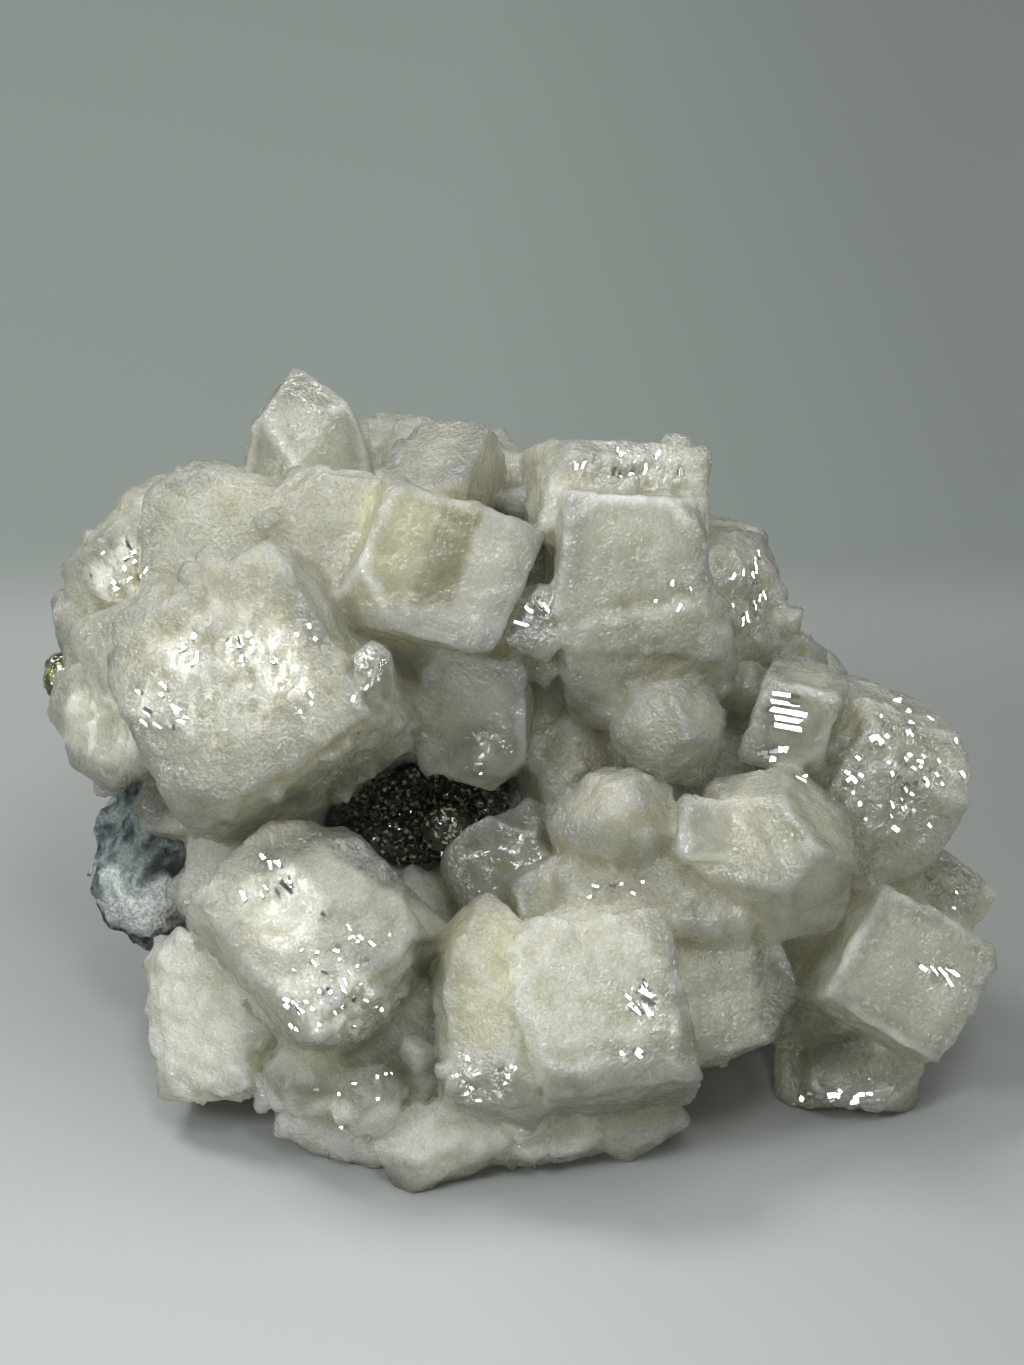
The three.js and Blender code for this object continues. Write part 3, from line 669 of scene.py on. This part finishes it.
def lampWay(tree, eye, place, normal):
    # The way that mirrors a small lamp to the eye, of the lamps that reach the place the one nearest its normal.
    ways = []
    for _, at, size, _ in lamps:
        toLamp = (Vector(at) - place).normalized()
        if size < chip["lampSize"] and tree.ray_cast(place + normal * 0.5 * mm, toLamp)[0] is None:
            ways.append(((eye - place).normalized() + toLamp).normalized())
    facing = max(ways, key=normal.dot, default=None)
    return facing if facing and facing.dot(normal) >= chip["facing"] else None


def growFlakes(mesh, picks):
    # Small flat chips of broken crystal on the surface, each turned to catch a lamp.
    tree = BVHTree.FromPolygons([v.co for v in mesh.vertices], [p.vertices for p in mesh.polygons])
    eye = cameraPlace()
    chips = bmesh.new()
    for at, half, way, sway in flakeSpots(picks):
        place, normal, _, _ = tree.ray_cast(eye, onFace(*at, 0) - eye)
        facing = lampWay(tree, eye, place, normal) if place else None
        if not facing:
            continue
        facing = (facing + Vector([picks.gauss(0, math.radians(sway)) for _ in range(3)])).normalized()
        along = (onFace(*cosSin(way), 0) - onFace(0, 0, 0)).normalized()
        along = (along - facing * along.dot(facing)).normalized()
        verts = bmesh.ops.create_cube(chips, size=2.0)["verts"]
        for vert in verts:
            vert.co.x *= picks.uniform(0.7, 1.1)
            vert.co.y *= picks.uniform(0.55, 1.15)
        sizes = Vector((*half, chip["half"])) * mm
        middle = Matrix.Translation(place - facing * chip["sunk"] * mm)
        matrix = middle @ turnTo(along, facing) @ Matrix.Diagonal(sizes.to_4d())
        bmesh.ops.transform(chips, matrix=matrix, verts=verts)
    for vert in chips.verts:
        vert.co.z = max(vert.co.z, 0)
    print("flakes:", len(chips.faces) // 6)
    return chips


def buildCalcite(source):
    # The CAD solid with small crystals, plates and teeth, as one skin.
    solid = source.copy()
    for across, up, out, half, turn in smallCrystals:
        addSmallCrystal(solid, onFace(across, up, out), [h * mm for h in half], turn, 0.35 * min(half))
    picks = random.Random(12)
    growPlates(solid, source, picks)
    joinInto(solid, growTeeth(source, picks))
    for middle, side in jointPlaces(source, picks):
        size = picks.uniform(*calcite["jointSize"]) * picks.uniform(0.5, 1) * mm
        half = [size * part for part in draws(picks, 0.75, 1.25)]
        addSmallCrystal(solid, middle - side * 0.45 * size, half, draws(picks, 0, 90))
    mesh = remeshed(solid, calcite["voxel"])
    print("calcite remeshed:", len(mesh.vertices), "vertices")
    return mesh


def wearCalcite(mesh, source):
    # Edges are worn round, little on the crisp crystals and a lot on the soft ones, and wander.
    start = placesOf(mesh)
    w = regionWeights(start)
    recess = 1 - ramp(creaseFar(source, start, False, calcite["jointBend"]), 1.0, 3.5)
    usual, soft, crisp, inJoints = calcite["worn"]
    softness = usual + soft * w["soft"] + crisp * w["crisp"]
    softness = 2.2 * np.clip(np.maximum(softness, inJoints * recess), 0, 1)
    places, last = start, start
    for i, rounds in enumerate(calcite["wear"]):
        step = smoothed(mesh, last, rounds)
        places = places + (step - last) * np.clip(softness * 1.36 - i, 0, 1)[:, None]
        last = step
    wander = [noise(start, 11.0, 3.3 * i, 2) + 0.4 * noise(start, 4.0, 7 + 3 * i) for i in range(3)]
    places = places + np.stack(wander, axis=1) * (calcite["sway"] * mm * (1 - 0.6 * w["crisp"]))[:, None]
    setPlaces(mesh, places)
    return places, w


def shapeCalcite(mesh, source):
    # Faces bulge and roll, and carry small growth faces. Broken, silky parts are rougher, and pits are dug.
    places, w = wearCalcite(mesh, source)
    polish = 1 - 0.8 * w["smooth"]
    edgeFar = creaseFar(source, places, True)
    height = calcite["closeness"] + calcite["bulge"] * ramp(edgeFar, 0, 6) * (1 - 0.6 * w["crisp"])
    height += calcite["roll"] * polish * noise(places, 6.5, 1.0, 3)
    rough = calcite["rough"]
    for name, more in calcite["rougher"].items():
        rough = rough + more * w[name]
    height += rough * polish * sum(share * facets(places, grain, 3.0 + grain) for grain, share in calcite["facets"])
    fibres = noise(places * np.array([1, 0.45, 0.45]), 1.1, 2.0, 2)
    height += calcite["fibres"] * (w["silk"] + w["white"]) * fibres
    height -= calcite["pits"] * w["pits"] * ramp(hillocks(places, 2.3, 9.0), 0.2, 0.6)
    swell(mesh, places, height, onFloor=True)
    print("calcite surface shaped")


def calciteWeights(source, places):
    w = regionWeights(places)
    edgeFar = creaseFar(source, places, True, 30)
    w["edge"] = 1 - ramp(edgeFar, *calcite["edge"])
    w["shell"] = 1 - ramp(edgeFar + 0.6 * noise(places, 2.2, 4.0), *calcite["shell"])
    recessFar = creaseFar(source, places, False, calcite["jointBend"])
    w["recess"] = 1 - ramp(recessFar, *calcite["recess"])
    w["core"], w["band"], w["rim"] = phantomWeights(places)
    w["cloud"] = ramp(noise(places, 8.0, 2.0, 3), -0.5, 0.5)
    w["wisp"] = ramp(noise(places * np.array([1, 0.6, 0.6]), 2.0, 6.0, 3), -0.25, 0.45)
    return w


def paintCalcite(mesh, w):
    # Zones and milkiness are painted on the vertices, and so are painted shade in the joints, a painted highlight
    # along the outward edges and a painted sheen on the silky parts.
    layers = [
        (w["cloud"], "#e2e2d2"),
        (0.35 * w["wisp"], "#f0f0e5"),
        (0.6 * w["warm"], "#c8c59d"),
        # darker and olive in the joints between crystals: painted shade
        (0.5 * w["recess"], "#bcba9c"),
        (0.6 * w["core"], "#d4d2ac"),
        (0.85 * w["band"], "#aeac8e"),
        (0.7 * w["rim"], "#e6e6d8"),
        # lighter along the outward edges, more on the crisp crystals: a painted highlight
        ((0.15 + 0.3 * w["crisp"]) * w["edge"], "#eeefe6"),
        (0.7 * w["white"], "#e3e4d8"),
        # whiter on the silky parts: broken cleavage, and in part a painted sheen
        (0.1 * w["silk"], "#e9eae0"),
        # whiter still where the edges cross the milky wisps: a painted highlight as well
        (w["edge"] * 0.3 * w["wisp"], "#f4f5f0"),
        (0.6 * w["clear"], "#b9bbab"),
        (w["stain"], "#2c2f26"),
    ]
    setTint(mesh, painted("#cfd0ba", layers))
    zoned = np.maximum(np.maximum(w["core"], w["band"]), w["rim"])
    haze = (0.68 + 0.1 * w["shell"]) * (1 - 0.3 * w["crisp"] * w["edge"])
    haze = haze * (1 - 0.8 * w["white"]) * (1 - 0.5 * w["silk"]) * (1 - 0.25 * w["recess"]) * (1 - 0.2 * zoned)
    setAttribute(mesh, "clear", 1 - (1 - 0.9 * w["clear"]) * (1 - haze))
    setAttribute(mesh, "sugar", (0.6 + 0.4 * w["grain"] + 0.2 * w["white"]) * (1 - w["smooth"]))
    for name in ("smooth", "glint", "silk"):
        setAttribute(mesh, name, w[name])


def makeCalciteMesh():
    source = solidOf("calcite_crystals")
    mesh = buildCalcite(source)
    shapeCalcite(mesh, source)
    mesh = thinned(mesh, calcite["triangles"])
    verts, faces = len(mesh.vertices), len(mesh.polygons)
    print("calcite thinned to", faces, "triangles")

    chips = growFlakes(mesh, random.Random(31))
    whole = solidFrom(mesh)
    joinInto(whole, chips)
    mesh = meshOf(whole, "calcite")
    w = calciteWeights(source, placesOf(mesh))
    # The flakes are glossy, smooth and painted white: their white tint is a painted highlight that stays bright
    # even where a flake misses its lamp.
    for name in ("glint", "smooth", "white"):
        w[name][verts:] = 1.0
    paintCalcite(mesh, w)
    mesh.shade_smooth()
    for flat in mesh.polygons[faces:]:
        flat.use_smooth = False
    source.free()
    return mesh


def calciteMaterial():
    # Calcite: milky from fine inclusions, so that light soaks in and glows back, with frosted growth faces. Its
    # outer layer and some crystals are clear, with its mean IOR of about 1.6 and a faint honey absorption.
    material, add, inMm = newMaterial("milky_calcite")
    tint = add("Attribute", attribute_name="tint")
    clear, sugar, smooth, glint, silk = (
        add("Attribute", attribute_name=name, give="Fac") for name in ("clear", "sugar", "smooth", "glint", "silk")
    )

    # Frosting of 0.35 and 1 mm, drawn coarser than real, so that it shows. Each grain leans its own way.
    frost = add("TexNoise", {"Vector": inMm, "Scale": 1 / 0.35, "Detail": 1.0, "Roughness": 0.6})
    lumps = add("TexNoise", {"Vector": inMm, "Scale": 1 / 1.0, "Detail": 1.0, "Roughness": 0.65})
    height = add("Math", {0: frost, 1: 0.3}, operation="MULTIPLY")
    height = add("Math", {0: lumps, 1: 0.6, 2: height}, operation="MULTIPLY_ADD")
    height = add("Math", {0: height, 1: sugar}, operation="MULTIPLY")
    frosted = add("Bump", {"Height": height, "Distance": 0.0016})
    lean = add("Math", {0: sugar, 1: 0.4}, operation="MULTIPLY")
    coatLean = add("MapRange", {"Value": smooth, "To Min": 0.9, "To Max": 0.0})
    normals = []
    for grain, amount in ((0.5, lean), (0.9, coatLean)):
        away = add("TexVoronoi", {"Vector": inMm, "Scale": 1 / grain}, give="Color", feature="F1")
        away = add("VectorMath", {0: away, 1: (0.5, 0.5, 0.5)}, operation="SUBTRACT")
        away = add("VectorMath", {0: away, "Scale": amount}, operation="SCALE")
        away = add("VectorMath", {0: frosted, 1: away}, operation="ADD")
        normals.append(add("VectorMath", {0: away}, operation="NORMALIZE"))

    # Silky cleavage flakes, long one way, are whiter than the rest: broken cleavage, and in part a painted satin
    # sheen.
    along = add("Mapping", {"Vector": inMm, "Rotation": (0.2, 0.5, 0.3), "Scale": (1.0, 0.7, 0.34)})
    silky = add("TexNoise", {"Vector": along, "Scale": 1 / 2.1, "Detail": 3.0, "Roughness": 0.62})
    silky = add("MapRange", {"Value": silky, "From Min": 0.5, "From Max": 0.57})
    silky = add("Math", {0: silky, 1: silk}, operation="MULTIPLY")
    sparkle = {"Value": frost, "From Min": 0.36, "From Max": 0.66, "To Min": 0.92, "To Max": 1.06}
    colour = add("VectorMath", {0: tint, "Scale": add("MapRange", sparkle)}, operation="SCALE")
    colour = add("Mix", {0: silky, 6: colour, 7: linear("#efefe4")}, give=2, data_type="RGBA")
    seeThrough = add("Math", {0: silky, 1: -0.25, 2: clear}, operation="MULTIPLY_ADD", use_clamp=True)

    shader = add(
        "BsdfPrincipled",
        {
            "Base Color": colour,
            "Normal": normals[0],
            "Roughness": add("MapRange", {"Value": smooth, "To Min": 0.15, "To Max": 0.12}),
            "Transmission Weight": seeThrough,
            "Coat Weight": glint,
            "Coat Normal": normals[1],
            "IOR": 1.6,
            "Subsurface Weight": 1.0,
            "Subsurface Radius": (1.0, 0.97, 0.82),
            "Subsurface Scale": 0.014,
            "Coat Roughness": 0.05,
            "Coat IOR": 2.0,  # cleavages also reflect from within, so more than the surface alone
        },
        subsurface_method="RANDOM_WALK",
    )
    haze = add("VolumeAbsorption", {"Color": linear("#dcd9bf"), "Density": 6.0})
    add("OutputMaterial", {"Surface": shader, "Volume": haze})
    return material


finishPiece(makeCalciteMesh(), "calcite_cluster", calciteMaterial(), "calcite_crystals")
print("calcite done")


basalt = {
    "voxel": 0.62,
    "triangles": 120000,
    "closeness": 0.6,
    "vesicles": 420,
    "vesicleSize": (0.5, 2.1),
    "vesicleDepth": 0.8,
    "lumps": 0.8,
    "cracks": 0.5,
    "facets": 0.2,
}


def vesicleSpots(solid, picks):
    # The rock's gas bubbles, and their radii in mm.
    faces = list(solid.faces)
    pores = []
    for chosen in picks.choices(faces, weights=[f.calc_area() for f in faces], k=basalt["vesicles"]):
        a, b, c = (v.co for v in chosen.verts[:3])
        s, t = sorted((picks.random(), picks.random()))
        size = picks.uniform(*basalt["vesicleSize"]) * picks.uniform(0.4, 1)
        pores.append((a * s + b * (t - s) + c * (1 - t), size))
    return pores


def makeBasaltMesh():
    source = solidOf("basalt_matrix")
    pores = vesicleSpots(source, random.Random(5))
    mesh = remeshed(source, basalt["voxel"], 4)
    places = placesOf(mesh)
    cracks = 1 - ramp(np.abs(noise(places, 3.6, 8.0, 3)), 0, 0.2)
    height = basalt["closeness"] + basalt["lumps"] * noise(places, 6.0, 2.0, 4) - basalt["cracks"] * cracks
    height = height + basalt["facets"] * facets(places, 3.0, 4.0)
    tree = treeOf([middle for middle, size in pores])
    depth = np.zeros(len(places))
    for i, place in enumerate(places.tolist()):
        _, index, far = tree.find(place)
        size = pores[index][1]
        if far < size * mm:
            depth[i] = math.sqrt(size**2 - (far / mm) ** 2)
    height -= basalt["vesicleDepth"] * depth
    swell(mesh, places, height, onFloor=True)
    mesh = thinned(mesh, basalt["triangles"])
    mesh.shade_smooth()
    paintBasalt(mesh, placesOf(mesh))
    print("basalt:", len(mesh.polygons), "triangles")
    return mesh


def paintBasalt(mesh, places):
    # Green-grey and rusty patches on the dark rock, and on its bare lobe blue-grey films with white crusts.
    across, up, _ = toFace(places).T
    patches = noise(places, 6.0, 3.0, 4)
    blotches = noise(places, 2.6, 7.0, 3)
    rock = [
        (ramp(patches, -0.1, 0.35), "#565f59"),
        (0.6 * ramp(noise(places, 12.0, 5.0, 3), 0.05, 0.45), "#5b5240"),
        (0.8 * ramp(blotches, 0.32, 0.5), "#8b9185"),
    ]
    crusted = ramp(-np.hypot((across + 47.5) / 1.3, up + 15.5) + 3.5 * patches, -4.6, -3.4)
    film = [
        (ramp(blotches, -0.2, 0.4), "#7f8c88"),
        (ramp(-blotches, 0.1, 0.4), "#2f3738"),
        (ramp(-np.hypot(across + 53.5, up + 21.5) + 2.5 * patches, -6.0, -4.0), "#1d211d"),
        (0.85 * crusted, "#c3c9c4"),
    ]
    rock, film = painted("#343a3a", rock), painted("#525f62", film)
    lobe = ramp(-across, 36, 41)
    setTint(mesh, rock + (film - rock) * lobe[:, None])


def basaltMaterial():
    # Altered basalt: dull dark groundmass with chlorite-green and blue-grey films, and white zeolite crusts.
    material, add, inMm = newMaterial("altered_basalt")
    tint = add("Attribute", attribute_name="tint")
    fine = add("TexNoise", {"Vector": inMm, "Scale": 1 / 0.5, "Detail": 4.0, "Roughness": 0.7})
    coarse = add("TexNoise", {"Vector": inMm, "Scale": 1 / 1.7, "Detail": 3.0})
    speckle = {"Value": fine, "From Min": 0.35, "From Max": 0.68, "To Min": 0.55, "To Max": 1.5}
    colour = add("VectorMath", {0: tint, "Scale": add("MapRange", speckle)}, operation="SCALE")
    height = add("Math", {0: coarse, 1: 0.8, 2: fine}, operation="MULTIPLY_ADD")
    bump = add("Bump", {"Height": height, "Distance": 0.0006})
    roughness = add("MapRange", {"Value": coarse, "To Min": 0.4, "To Max": 0.9})
    shader = add("BsdfPrincipled", {"Base Color": colour, "Normal": bump, "Roughness": roughness, "IOR": 1.55})
    add("OutputMaterial", {"Surface": shader})
    return material


finishPiece(makeBasaltMesh(), "basalt_lump", basaltMaterial(), "basalt_matrix")
print("basalt done")


druse = {
    "voxel": 0.3,
    "knob": (-9.0, -6.6, 2.2),  # a rounded knob on the floor
    "knobSize": 3.0,
    "points": 1500,
    "pointSize": (0.16, 0.5),  # mm, the radius at the foot
    "pointLength": (1.4, 2.6),  # for each mm of the radius
    "lean": 0.55,
    "batch": 30,  # points are made a few at a time, because operators are slow on a big mesh
    "opening": (-10.5, -4.0, 14.0),  # points grow where the crust faces it
}


def drusePlaces(solid, picks):
    # Places on the crust that face the hollow's opening and are free of the knob, with their normals.
    opening, knob = onFace(*druse["opening"]), onFace(*druse["knob"])
    free = (druse["knobSize"] + 0.4) * mm
    seen = []
    for f in solid.faces:
        middle = f.calc_center_median()
        if f.normal.dot((opening - middle).normalized()) > 0.15 and (middle - knob).length > free:
            seen.append(f)
    chosen = picks.choices(seen, weights=[f.calc_area() for f in seen], k=druse["points"])
    return [(f.calc_center_median(), f.normal.copy()) for f in chosen]


def makeDruseMesh():
    source = solidOf("quartz_druse")
    addBall(source, *druse["knob"], druse["knobSize"], 3)
    mesh = remeshed(source, druse["voxel"], 3)
    places = placesOf(mesh)
    height = 0.1 + 0.35 * noise(places, 2.4, 6.0, 3) + 0.4 * hillocks(places, 1.2, 1.0)
    swell(mesh, places, height)
    solid = solidFrom(mesh)
    bmesh.ops.triangulate(solid, faces=solid.faces)
    picks = random.Random(3)
    spots = drusePlaces(solid, picks)
    for first in range(0, len(spots), druse["batch"]):
        batch = bmesh.new()
        for middle, normal in spots[first : first + druse["batch"]]:
            radius = picks.uniform(*druse["pointSize"]) * picks.uniform(0.5, 1)
            length = radius * picks.uniform(*druse["pointLength"])
            way = normal + Vector(draws(picks, -druse["lean"], druse["lean"]))
            turn = way.to_track_quat("Z", "Y").to_matrix() @ Matrix.Rotation(picks.uniform(0, 1), 3, "Z")
            place = Matrix.Translation(middle + normal * 0.25 * length * mm) @ turn.to_4x4()
            radii = {"radius1": radius * mm, "radius2": radius * 0.12 * mm}
            bmesh.ops.create_cone(batch, cap_ends=True, segments=6, depth=length * mm, matrix=place, **radii)
        joinInto(solid, batch)
    mesh = meshOf(solid, "druse")
    mesh.shade_flat()
    print("druse:", len(mesh.polygons), "faces")
    return mesh


def druseMaterial():
    # Quartz druse: smoky black-green points with glassy faces, so it sparkles out of the dark.
    material, add, inMm = newMaterial("smoky_quartz_druse")
    shade = add("TexVoronoi", {"Vector": inMm, "Scale": 2.2}, give="Color", feature="F1")
    shade = add("SeparateColor", {"Color": shade})
    dark = add("Mix", {0: shade, 6: linear("#101209"), 7: linear("#303326")}, give=2, data_type="RGBA")
    isPale = add("MapRange", {"Value": shade, "From Min": 0.86, "From Max": 0.92})
    colour = add("Mix", {0: isPale, 6: dark, 7: linear("#8d907c")}, give=2, data_type="RGBA")
    gloss = {"IOR": 1.55, "Roughness": 0.16, "Coat Weight": 0.5, "Coat Roughness": 0.06}
    add("OutputMaterial", {"Surface": add("BsdfPrincipled", {"Base Color": colour, **gloss})})
    return material


finishPiece(makeDruseMesh(), "quartz_druse_lining", druseMaterial(), "quartz_druse")
print("druse done")


green = {"voxel": 0.2, "beads": [(-56.6, 14.6, -4.0, 1.1), (-56.2, 9.6, -3.6, 0.9), (-55.9, 16.9, -4.4, 0.8)]}


def makeGreenMesh():
    source = solidOf("green_grain")
    for bead in green["beads"]:
        addBall(source, *bead, 2)
    mesh = remeshed(source, green["voxel"], 3)
    places = placesOf(mesh)
    height = 0.1 + 0.22 * noise(places, 1.5, 2.0, 3) + 0.3 * hillocks(places, 1.1, 5.0)
    swell(mesh, places, height)
    mesh.shade_smooth()
    return mesh


def greenMaterial():
    # Celadonite-green glassy grain: olive with lighter yellow-green spots and a wet shine.
    material, add, inMm = newMaterial("olive_green_mineral")
    spots = add("TexNoise", {"Vector": inMm, "Scale": 0.8, "Detail": 4.0})
    pale = add("MapRange", {"Value": spots, "From Min": 0.45, "From Max": 0.62})
    colour = add("Mix", {0: pale, 6: linear("#20281a"), 7: linear("#7d7f45")}, give=2, data_type="RGBA")
    gloss = {"IOR": 1.6, "Roughness": 0.2, "Coat Weight": 0.6, "Coat Roughness": 0.08}
    add("OutputMaterial", {"Surface": add("BsdfPrincipled", {"Base Color": colour, **gloss})})
    return material


finishPiece(makeGreenMesh(), "green_grain_cluster", greenMaterial(), "green_grain")
print("green grain done")


# a pale floor that turns grey-green behind and is darker to the right with painted shade, under a soft sky
stage = {
    "size": 6.0,
    "front": "#939795",
    "back": "#676e69",
    "middle": "#7a7e7b",
    "fadesAt": (-75, 50),  # mm, where the front tone turns to the middle one
    "turnsAt": (100, 130),
    # where painted shade darkens the floor, in mm across to the right, and how dark it gets
    "paintedShadeAcross": (-10, 75),  # mm across, to the right
    "darker": 0.75,
    "sky": "#c9cdc9",
    "skyStrength": 0.5,
    "lampsAimAt": (0, 0, 0.04),
}


def floorMaterial():
    # Matte paper: no gloss, and a tone that changes slowly from front to back, with painted shade that darkens it
    # to the right.
    material, add, inMm = newMaterial("matte_paper")
    back = add("SeparateXYZ", {"Vector": inMm}, give="Y")
    tone = linear(stage["front"])
    for reach, after in (("fadesAt", "middle"), ("turnsAt", "back")):
        low, high = stage[reach]
        share = add("MapRange", {"Value": back, "From Min": low, "From Max": high}, interpolation_type="SMOOTHSTEP")
        tone = add("Mix", {0: share, 6: tone, 7: linear(stage[after])}, give=2, data_type="RGBA")
    # painted shade: the floor darker towards the right
    low, high = stage["paintedShadeAcross"]
    right = add("SeparateXYZ", {"Vector": inMm})
    darker = {"Value": right, "From Min": low, "From Max": high, "To Min": 1.0, "To Max": stage["darker"]}
    tone = add("VectorMath", {0: tone, "Scale": add("MapRange", darker)}, operation="SCALE")
    add("OutputMaterial", {"Surface": add("BsdfPrincipled", {"Base Color": tone, "Roughness": 0.85})})
    return material


def makeStage():
    solid = bmesh.new()
    bmesh.ops.create_grid(solid, x_segments=1, y_segments=1, size=stage["size"] / 2)
    floor = linkNew("floor", meshOf(solid, "floor"))
    floor.data.materials.append(floorMaterial())
    for name, at, size, power in lamps:
        data = bpy.data.lights.new(name, "AREA")
        data.shape, data.size, data.energy = "DISK", size, power
        lamp = linkNew(name, data)
        lamp.location = at
        lamp.rotation_euler = (Vector(at) - Vector(stage["lampsAimAt"])).to_track_quat("Z", "Y").to_euler()
    world = bpy.data.worlds.new("soft sky")
    world.use_nodes = True
    background = world.node_tree.nodes["Background"]
    background.inputs["Color"].default_value = linear(stage["sky"])
    background.inputs["Strength"].default_value = stage["skyStrength"]
    bpy.context.scene.world = world
    bpy.context.scene.view_settings.view_transform = "Standard"


makeStage()
print("stage done")
